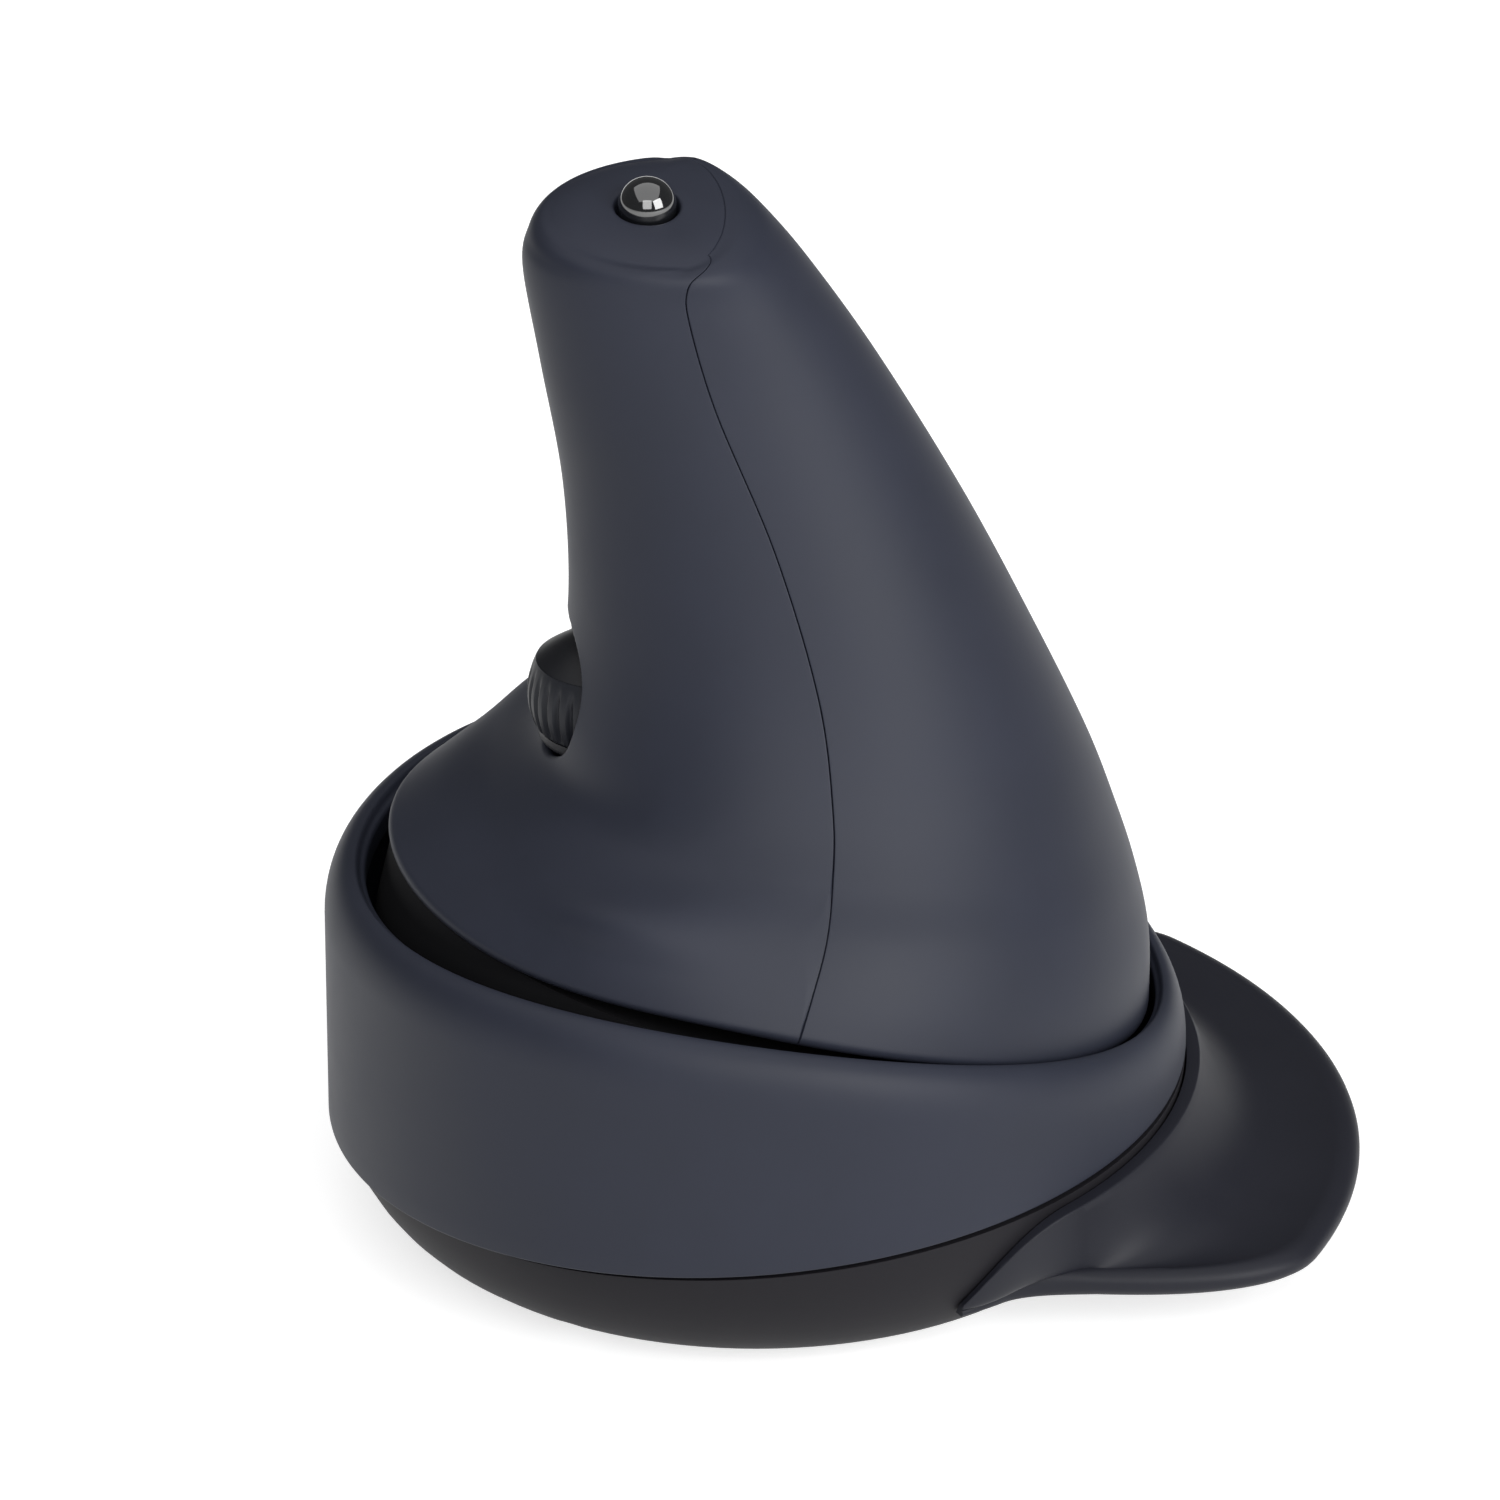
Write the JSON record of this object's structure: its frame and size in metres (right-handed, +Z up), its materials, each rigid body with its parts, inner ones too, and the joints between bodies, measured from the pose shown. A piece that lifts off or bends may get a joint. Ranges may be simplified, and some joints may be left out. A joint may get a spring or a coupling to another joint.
{
  "type": "vertical mouse",
  "caption": "Vertical rocking computer mouse: fin-shaped handle on a round base, with a thumb wheel, a domed top button and a palm rest.",
  "frame": {"origin": "middle of the footprint box, on the desk under the glide feet", "axes": "+X from the thumb side to the palm side, +Y away from the user, +Z up"},
  "size_m": [0.1049, 0.087, 0.1126],
  "materials": {
    "shell_front": "soft-touch matte",
    "shell_rear": "soft-touch matte",
    "ring": "soft-touch matte",
    "rest": "soft-touch matte",
    "tray": "fine matte",
    "glide": "smooth",
    "tyre": "ribbed",
    "hub": "satin",
    "button": "gloss",
    "frame": "plain",
    "board": "lacquered",
    "chip": "plain",
    "encoder": "plain",
    "lens": "clear",
    "led": "clear",
    "plunger": "smooth",
    "knob": "smooth",
    "cell": "painted",
    "contact": "nickel plated",
    "steel": "bright",
    "bush": "sintered",
    "screw": "zinc plated"
  },
  "bodies": {
    "base": {"base_ring": "ring", "bottom_tray": "tray", "palm_rest": "rest", "glide_feet": "glide", "main_board": "board", "optical_sensor": "chip", "sensor_lens": "lens", "sensor_led": "led", "radio_chip": "chip", "left_switch": "chip", "right_switch": "chip", "cell_front": "cell", "cell_rear": "cell", "cell_contacts": "contact", "power_switch": "chip", "pivot_shaft": "steel", "centring_springs": "steel", "ring_screws": "screw", "rest_screws": "screw", "board_screws": "screw"},
    "handle": {"front_shell": "shell_front", "rear_shell": "shell_rear", "rocker_frame": "frame", "pivot_bushes": "bush", "wheel_bracket": "frame", "wheel_encoder": "encoder", "handle_board": "board", "button_switch": "chip", "shell_screws": "screw", "bracket_screws": "screw"},
    "wheel": {"wheel_pin": "steel", "wheel_hub": "hub", "wheel_tyre": "tyre"},
    "button": {"top_button": "button", "button_plunger": "plunger"},
    "left_click": {"left_plunger": "plunger"},
    "right_click": {"right_plunger": "plunger"},
    "power_knob": {"power_slider": "knob"},
    "door": {"battery_door": "tray"}
  },
  "joints": [
    {"name": "handle_rock", "type": "hinge", "parent": "base", "child": "handle", "pos_m": [-0.00895, 0, 0.02], "axis": [0, 1, 0], "range_deg": [-2.5, 2.5], "stiffness_Nm_per_rad": 2, "deforming": ["centring_springs"]},
    {"name": "wheel_spin", "type": "hinge", "parent": "handle", "child": "wheel", "pos_m": [-0.02345, 0, 0.0575], "axis": [0, 0, 1], "continuous": true},
    {"name": "button_press", "type": "slide", "parent": "handle", "child": "button", "axis": [0, 0, -1], "range_m": [0, 0.0006], "stiffness_N_per_m": 1500, "springref_m": -0.0003},
    {"name": "left_plunger_slide", "type": "slide", "parent": "base", "child": "left_click", "axis": [0, 0, 1], "range_m": [-0.0005, 0.0005]},
    {"name": "right_plunger_slide", "type": "slide", "parent": "base", "child": "right_click", "axis": [0, 0, 1], "range_m": [-0.0005, 0.0005]},
    {"name": "power_slide", "type": "slide", "parent": "base", "child": "power_knob", "axis": [1, 0, 0], "range_m": [0, 0.002]},
    {"name": "door_pull", "type": "slide", "parent": "base", "child": "door", "axis": [0, 0, -1], "range_m": [0, 0.012]}
  ],
  "couplings": [
    {"joint": "right_plunger_slide", "follows": "handle_rock", "m_per_rad": -0.011},
    {"joint": "left_plunger_slide", "follows": "handle_rock", "m_per_rad": 0.011}
  ]
}
